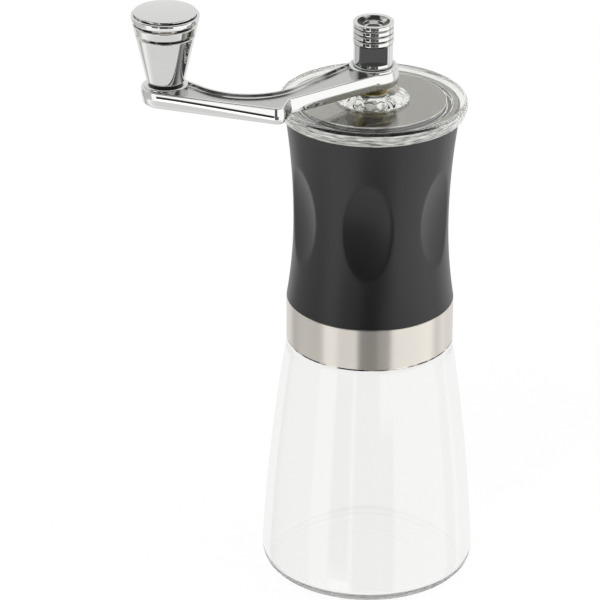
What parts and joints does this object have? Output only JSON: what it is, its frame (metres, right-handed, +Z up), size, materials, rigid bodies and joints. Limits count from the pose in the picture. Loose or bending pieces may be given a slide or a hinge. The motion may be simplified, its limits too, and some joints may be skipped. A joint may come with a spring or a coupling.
{
  "type": "hand crank coffee grinder",
  "caption": "Hand crank coffee grinder: waisted black grip with finger dents, clear lid, dog-leg chrome crank with tapered knob, steel band and flared glass jar.",
  "frame": {"origin": "centre of the jar's flat underside", "axes": "+Z up along the shaft; at rest the crank arm points along -X, with its elbow towards -Y"},
  "size_m": [0.1329, 0.082, 0.2384],
  "materials": {
    "jar_glass": "clear pressed glass",
    "silicone": "milky silicone",
    "band_steel": "brushed round the band",
    "grip_plastic": "fine matte texture",
    "hopper_plastic": "moulded satin",
    "bridge_plastic": "moulded satin",
    "bush_plastic": "smooth bearing plastic",
    "plain_steel": "turned",
    "spring_steel": "drawn wire",
    "burr_ceramic": "fired, unglazed",
    "lid_clear": "clear, polished",
    "lid_brass": "turned",
    "chrome_plate": "bright plated casting"
  },
  "bodies": {
    "jar": {"jar": "jar_glass"},
    "seal_ring": {"jar_seal": "silicone"},
    "head": {"grip_body": "grip_plastic", "steel_band": "band_steel", "hopper_funnel": "hopper_plastic", "bearing_bridge": "bridge_plastic", "upper_bush": "bush_plastic", "thrust_washer": "plain_steel", "burr_housing": "bush_plastic", "lower_bush": "bush_plastic", "housing_screws": "plain_steel", "outer_burr": "burr_ceramic"},
    "shaft": {"drive_shaft": "plain_steel", "shaft_sleeve": "chrome_plate", "burr_spring": "spring_steel"},
    "crank": {"crank_arm": "chrome_plate", "top_nut": "chrome_plate", "knob_axle": "plain_steel", "knob_washer": "bush_plastic"},
    "knob": {"knob": "chrome_plate", "knob_cap": "chrome_plate"},
    "lid": {"lid": "lid_clear", "lid_bush": "lid_brass"},
    "burr": {"inner_burr": "burr_ceramic", "spring_washer": "plain_steel", "drive_plate": "plain_steel"},
    "adjuster": {"adjust_nut": "bridge_plastic"}
  },
  "joints": [
    {"name": "head_rise", "type": "slide", "parent": "jar", "child": "seal_ring", "axis": [0, 0, 1], "range_m": [0, 0.005]},
    {"name": "head_unscrew", "type": "hinge", "parent": "seal_ring", "child": "head", "pos_m": [0, 0, 0.1], "axis": [0, 0, 1], "range_deg": [0, 450]},
    {"name": "crank_turn", "type": "hinge", "parent": "head", "child": "shaft", "pos_m": [0, 0, 0.15], "axis": [0, 0, 1], "continuous": true},
    {"name": "crank_lift", "type": "slide", "parent": "shaft", "child": "crank", "axis": [0, 0, 1], "range_m": [0, 0.06]},
    {"name": "knob_spin", "type": "hinge", "parent": "crank", "child": "knob", "pos_m": [-0.0792, 0, 0.22], "axis": [0, 0, 1], "continuous": true},
    {"name": "lid_lift", "type": "slide", "parent": "head", "child": "lid", "axis": [0, 0, 1], "range_m": [0, 0.03]},
    {"name": "burr_slide", "type": "slide", "parent": "shaft", "child": "burr", "axis": [0, 0, 1], "range_m": [-0.00125, 0], "deforming": ["burr_spring"]},
    {"name": "adjust_turn", "type": "hinge", "parent": "burr", "child": "adjuster", "pos_m": [0, 0, 0.093], "axis": [0, 0, 1], "range_deg": [-450, 0]}
  ],
  "couplings": [
    {"joint": "head_unscrew", "follows": "head_rise", "rad_per_m": 1570.8},
    {"joint": "lid_lift", "follows": "crank_lift", "ratio": 0.5},
    {"joint": "adjust_turn", "follows": "burr_slide", "rad_per_m": 6283.2}
  ]
}
